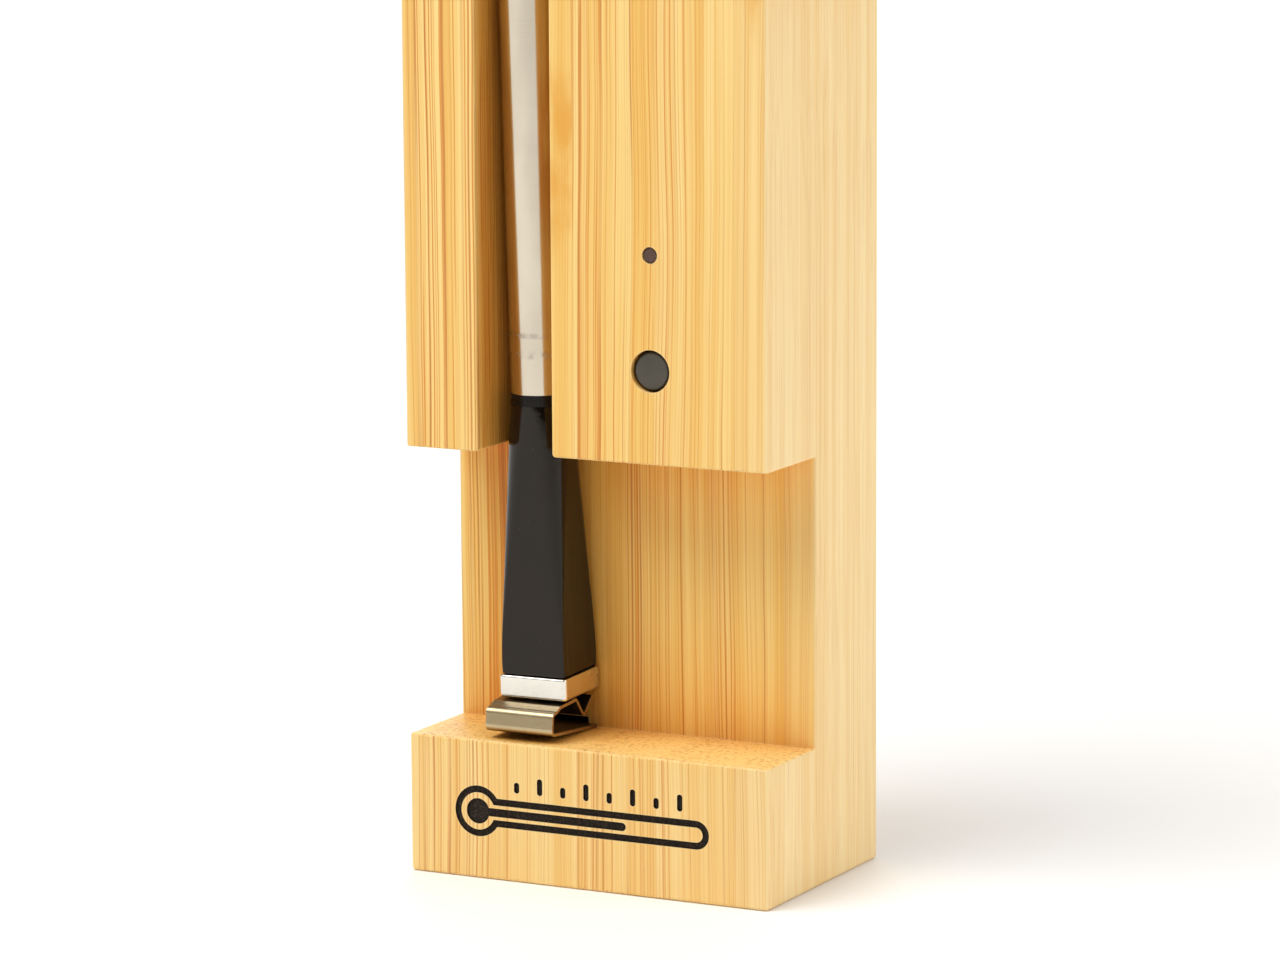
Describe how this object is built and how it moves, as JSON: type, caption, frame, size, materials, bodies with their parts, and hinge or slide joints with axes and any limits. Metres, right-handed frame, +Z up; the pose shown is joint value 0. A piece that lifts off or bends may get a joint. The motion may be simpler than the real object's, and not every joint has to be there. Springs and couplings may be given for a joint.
{
  "type": "meat thermometer",
  "caption": "Cordless meat thermometer: a slim steel probe with a square-footed ceramic grip, standing in the groove of an upright bamboo charging block.",
  "frame": {"origin": "centre of the block's flat base, on the surface it stands on", "axes": "+Z up along the block, front with groove and button towards -Y, +X to the right seen from the front"},
  "size_m": [0.04, 0.0254, 0.158],
  "materials": {
    "bamboo": "satin lacquer",
    "tray_plastic": "fine moulded texture",
    "button_plastic": "soft satin",
    "smoke_guide": "polished",
    "spring_steel": "rolled strip",
    "shaft_steel": "fine polish",
    "foot_steel": "polished",
    "black_ceramic": "semi-gloss",
    "seal_black": "satin",
    "screw_steel": "zinc plated",
    "board_green": "solder mask",
    "chip_black": "moulded epoxy",
    "shield_tin": "tin plated",
    "antenna_ceramic": "fired",
    "ferrite": "sintered",
    "capacitor_tan": "fired",
    "led_body": "moulded",
    "cell_steel": "nickel plated",
    "cell_jacket": "shrunk film",
    "magnet_nickel": "nickel plated",
    "keeper_steel": "zinc plated",
    "lead_red": "extruded",
    "lead_black": "extruded",
    "copper_wire": "drawn",
    "amber_film": "film",
    "sensor_bead": "dipped",
    "storage_cell": "sleeved"
  },
  "bodies": {
    "block": {"block_body": "bamboo", "battery_tray": "tray_plastic", "tactile_switch": "chip_black", "light_guide": "smoke_guide", "tail_contact_clip": "spring_steel", "shaft_clip": "spring_steel", "battery_contact_positive": "spring_steel", "battery_contact_negative": "spring_steel", "battery_spring": "spring_steel", "tray_screws": "screw_steel", "clip_screw": "screw_steel", "shaft_clip_screw": "screw_steel", "circuit_board": "board_green", "radio_chip": "chip_black", "radio_shield": "shield_tin", "chip_antenna": "antenna_ceramic", "power_inductor": "ferrite", "board_capacitors": "capacitor_tan", "status_led": "led_body", "battery_can": "cell_steel", "battery_terminal": "cell_steel", "battery_sleeve": "cell_jacket", "keeper_discs": "keeper_steel", "tail_contact_lead": "lead_red", "shaft_contact_lead": "lead_black"},
    "button": {"push_button": "button_plastic", "switch_stem": "button_plastic"},
    "rear_cover": {"rear_cover": "bamboo", "cover_magnets": "magnet_nickel"},
    "probe": {"probe_tube": "shaft_steel", "probe_tip": "shaft_steel", "probe_collar": "seal_black", "probe_handle": "black_ceramic", "end_cap": "foot_steel", "ambient_sensor": "sensor_bead", "probe_antenna": "copper_wire", "insulating_sleeve": "amber_film", "probe_board": "board_green", "probe_chip": "chip_black", "probe_board_parts": "capacitor_tan", "probe_cell": "storage_cell", "tip_sensor": "sensor_bead", "sensor_leads": "copper_wire"}
  },
  "joints": [
    {"name": "button_press", "type": "slide", "parent": "block", "child": "button", "axis": [0, 1, 0], "range_m": [0, 0.00035], "stiffness_N_per_m": 3000},
    {"name": "probe_pull", "type": "slide", "parent": "block", "child": "probe", "axis": [0, -1, 0], "range_m": [0, 0.06]},
    {"name": "cover_lift", "type": "slide", "parent": "block", "child": "rear_cover", "axis": [0, 1, 0], "range_m": [0, 0.04]}
  ]
}
